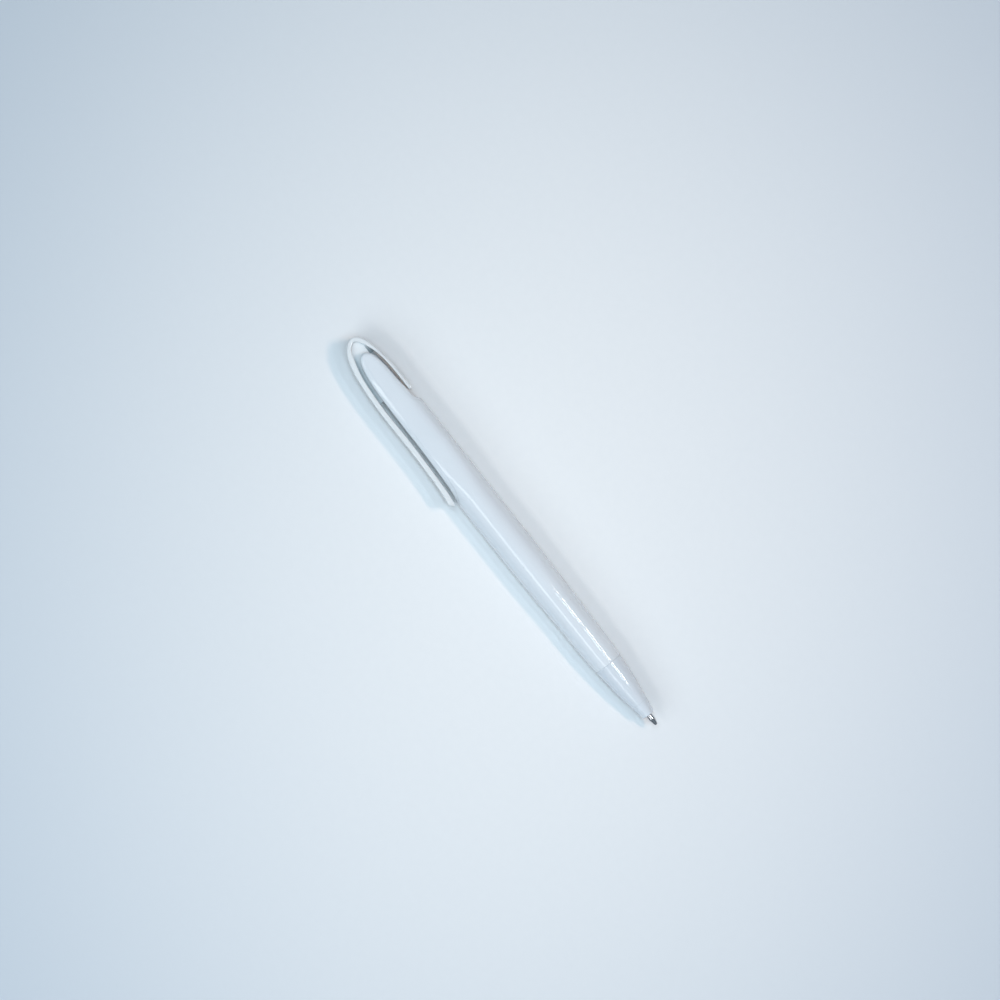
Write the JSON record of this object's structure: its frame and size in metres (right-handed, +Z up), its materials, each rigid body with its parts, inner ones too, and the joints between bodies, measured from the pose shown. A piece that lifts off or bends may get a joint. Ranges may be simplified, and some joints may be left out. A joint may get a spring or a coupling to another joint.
{
  "type": "retractable ballpoint pen",
  "caption": "Click ballpoint pen lying on its side, its clip and push button one arched moulding that slides in the forked head, with the point out.",
  "frame": {"origin": "on the surface that the pen lies on, under the middle of its box", "axes": "+X along the pen towards the writing ball, +Y away from the clip, +Z up; the pen lies on its side with the clip towards -Y"},
  "size_m": [0.143, 0.013, 0.0108],
  "materials": {
    "barrel_plastic": "satin moulded",
    "pusher_plastic": "satin moulded",
    "nose_plastic": "satin moulded",
    "guide_plastic": "moulded",
    "driver_plastic": "moulded",
    "rotor_plastic": "moulded",
    "refill_plastic": "extruded",
    "plug_plastic": "moulded",
    "holder_brass": "turned",
    "nickel_silver": "turned",
    "ball_carbide": "polished",
    "ink": "wet",
    "follower_grease": "wet",
    "spring_steel": "drawn wire"
  },
  "bodies": {
    "barrel": {"barrel": "barrel_plastic", "guide_sleeve": "guide_plastic", "return_spring": "spring_steel"},
    "pusher": {"push_clip": "pusher_plastic", "cam_driver": "driver_plastic"},
    "refill": {"refill_tube": "refill_plastic", "refill_plug": "plug_plastic", "tip_holder": "holder_brass", "writing_tip": "nickel_silver", "ink": "ink", "ink_follower": "follower_grease"},
    "rotor": {"rotor_cam": "rotor_plastic"},
    "ball": {"ball": "ball_carbide"},
    "nose": {"nose_cone": "nose_plastic"}
  },
  "joints": [
    {"name": "press", "type": "slide", "parent": "barrel", "child": "pusher", "axis": [1, 0, 0], "range_m": [-0.0053, 0.0018]},
    {"name": "refill_slide", "type": "slide", "parent": "barrel", "child": "refill", "axis": [1, 0, 0], "range_m": [-0.0053, 0.0018], "deforming": ["return_spring"]},
    {"name": "rotor_turn", "type": "hinge", "parent": "refill", "child": "rotor", "pos_m": [-0.032, 0.00114, 0.0054], "axis": [1, 0, 0], "range_deg": [-16, 46]},
    {"name": "ball_roll", "type": "hinge", "parent": "refill", "child": "ball", "pos_m": [0.071, 0.00114, 0.0054], "axis": [0, 1, 0], "continuous": true},
    {"name": "nose_off", "type": "slide", "parent": "barrel", "child": "nose", "axis": [1, 0, 0], "range_m": [0, 0.035]}
  ],
  "couplings": [
    {"joint": "refill_slide", "follows": "press", "ratio": 1},
    {"joint": "rotor_turn", "follows": "press", "rad_per_m": -148.19}
  ]
}
